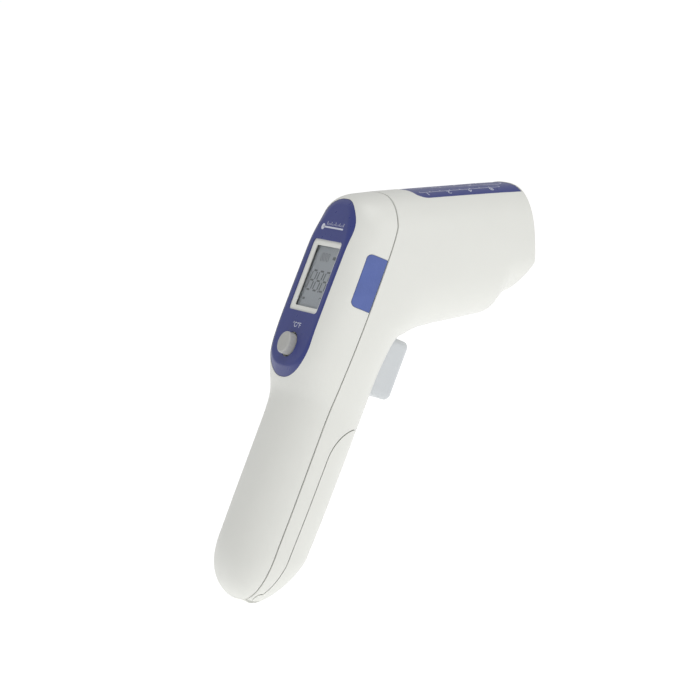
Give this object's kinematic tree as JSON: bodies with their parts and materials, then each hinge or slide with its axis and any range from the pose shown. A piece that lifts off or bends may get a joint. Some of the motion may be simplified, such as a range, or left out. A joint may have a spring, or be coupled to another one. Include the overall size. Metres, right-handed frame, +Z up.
{
  "type": "infrared thermometer",
  "caption": "Pistol-grip infrared thermometer with rear display, unit button, trigger and hinged battery door in the grip.",
  "frame": {"origin": "middle of the hand grip, on the part's plane of symmetry", "axes": "+X out of the nose along the measuring direction, +Y to the holder's left, +Z up"},
  "size_m": [0.1054, 0.039, 0.1322],
  "materials": {
    "shell": "satin moulded plastic, warm off-white",
    "steel": "zinc plated",
    "blue_label": "printed polyester label, satin",
    "blue_inlay": "fine textured inlay",
    "window_clear": "clear acrylic",
    "lcd_glass": "display glass with polariser, blank",
    "white_inner": "white diffuse plastic",
    "rubber_black": "black elastomer",
    "button_grey": "warm grey moulded button",
    "black_plastic": "black moulded plastic",
    "board_green": "solder mask over glass fibre board",
    "trigger_grey": "cool light grey moulded plastic",
    "cell_sleeve": "shrink sleeve over a steel can",
    "nickel": "nickel plated spring metal",
    "lens_dark": "infrared lens, dark and glossy",
    "aluminium": "turned aluminium",
    "brass": "turned brass",
    "wire_red": "red wire insulation",
    "wire_black": "black wire insulation"
  },
  "bodies": {
    "housing": {"rear_cover": "shell", "front_cover": "shell", "door_hinge_pin": "steel", "display_label": "blue_label", "barrel_label": "blue_label", "side_inlay_left": "blue_inlay", "side_inlay_right": "blue_inlay", "display_window": "window_clear", "lcd_panel": "lcd_glass", "lcd_frame": "white_inner", "backlight_panel": "white_inner", "lcd_connector_upper": "rubber_black", "lcd_connector_lower": "rubber_black", "unit_switch": "black_plastic", "main_board": "board_green", "control_chip": "black_plastic", "board_screw_1": "steel", "board_screw_2": "steel", "board_screw_3": "steel", "board_screw_4": "steel", "housing_screw_upper": "steel", "housing_screw_lower": "steel", "trigger_spring": "steel", "trigger_switch": "black_plastic", "battery_cell_left": "cell_sleeve", "battery_cell_right": "cell_sleeve", "battery_tray": "black_plastic", "battery_bridge_contact": "nickel", "battery_positive_contact": "nickel", "battery_negative_contact": "nickel", "battery_wire_red": "wire_red", "battery_wire_black": "wire_black", "nose_baffle": "black_plastic", "lens_retainer": "aluminium", "infrared_lens": "lens_dark", "lens_seal": "rubber_black", "lens_tube": "black_plastic", "sensor_can": "nickel", "sensor_block": "aluminium", "sensor_board": "board_green", "sensor_cable": "wire_black", "laser_module": "brass", "laser_holder": "black_plastic", "laser_wire_red": "wire_red", "laser_wire_black": "wire_black"},
    "trigger": {"trigger": "trigger_grey"},
    "unit_button": {"unit_button": "button_grey"},
    "battery_door": {"battery_door": "shell"}
  },
  "joints": [
    {"name": "trigger_pull", "type": "slide", "parent": "housing", "child": "trigger", "axis": [-0.9178, 0, 0.3971], "range_m": [0, 0.0025], "stiffness_N_per_m": 800, "springref_m": -0.001, "deforming": ["trigger_spring"]},
    {"name": "unit_button_press", "type": "slide", "parent": "housing", "child": "unit_button", "axis": [0.9178, 0, -0.3971], "range_m": [0, 0.0006], "stiffness_N_per_m": 1500, "springref_m": -0.0004},
    {"name": "battery_door_hinge", "type": "hinge", "parent": "housing", "child": "battery_door", "pos_m": [-0.01482, 0, -0.03576], "axis": [0, 1, 0], "range_deg": [0, 80]}
  ]
}
